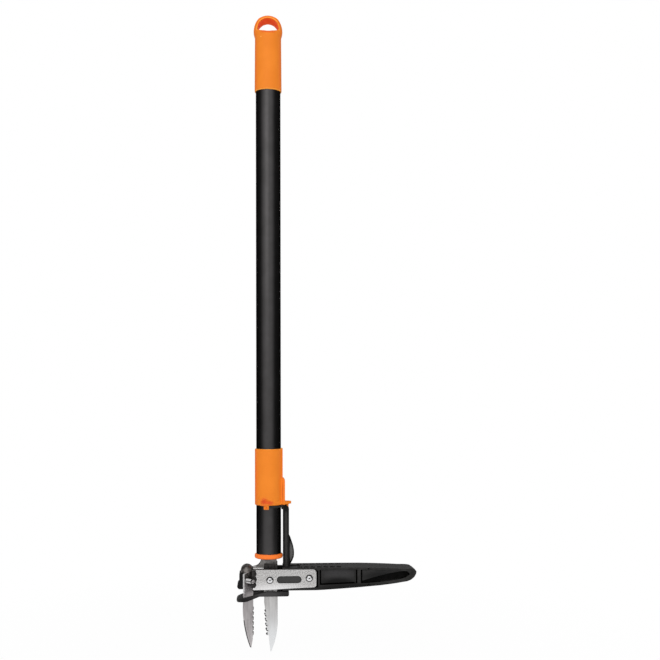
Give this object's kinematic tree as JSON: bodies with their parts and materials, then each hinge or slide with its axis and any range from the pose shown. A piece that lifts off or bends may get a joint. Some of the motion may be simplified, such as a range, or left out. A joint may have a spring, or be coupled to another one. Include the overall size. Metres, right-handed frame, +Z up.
{
  "type": "hand weeder",
  "caption": "Stand-up hand weeder: a long shaft with a hanging loop, a foot pedal that closes toothed claws as the shaft tilts, and a slider that pushes the weed off.",
  "frame": {"origin": "middle of the D-shaped hanging hole in the grip's loop", "axes": "+Z up along the shaft towards the loop, +X towards the free end of the foot pedal, +Y across the pedal"},
  "size_m": [0.282, 0.0521, 0.9853],
  "materials": {
    "black_coated_tube": "satin black coat",
    "orange_plastic": "satin moulded",
    "orange_collar": "satin moulded",
    "black_plastic": "fine-grained moulded",
    "plain_steel": "plain stamped",
    "plate_steel": "tumbled, light grey",
    "claw_steel": "satin stainless",
    "bright_steel": "polished"
  },
  "bodies": {
    "shaft": {"shaft_tube": "black_coated_tube", "grip_cap": "orange_plastic", "collar_ring": "orange_collar", "shaft_plug": "black_plastic", "shaft_pin": "plain_steel", "tang_plate_near": "plain_steel", "tang_plate_far": "plain_steel", "stop_plate": "plain_steel", "fixed_claw_near": "claw_steel", "fixed_claw_far": "claw_steel", "claw_wedge_near": "plain_steel", "claw_wedge_far": "plain_steel", "claw_rivets": "bright_steel", "pivot_bushing": "plain_steel"},
    "ejector": {"slider_sleeve": "orange_plastic", "slider_liner": "black_plastic", "ejector_rod": "black_plastic", "rod_screws": "bright_steel", "ejector_plate": "black_plastic", "ejector_screw": "bright_steel"},
    "pedal": {"pedal_body": "black_plastic", "side_plate_near": "plate_steel", "side_plate_far": "plate_steel", "pivot_bolt": "bright_steel", "pivot_nut": "bright_steel", "pedal_bolt": "bright_steel", "pedal_nut": "bright_steel", "claw_holder": "plain_steel", "claw_pad_near": "black_plastic", "claw_pad_far": "black_plastic", "moving_claw_near": "claw_steel", "moving_claw_far": "claw_steel", "claw_bolts": "bright_steel", "claw_sleeves": "bright_steel", "claw_nuts": "plain_steel"}
  },
  "joints": [
    {"name": "ejector_slide", "type": "slide", "parent": "shaft", "child": "ejector", "axis": [0, 0, -1], "range_m": [0, 0.062]},
    {"name": "pedal_hinge", "type": "hinge", "parent": "shaft", "child": "pedal", "pos_m": [0.0017, 0, -0.8585], "axis": [0, -1, 0], "range_deg": [0, 16]}
  ]
}
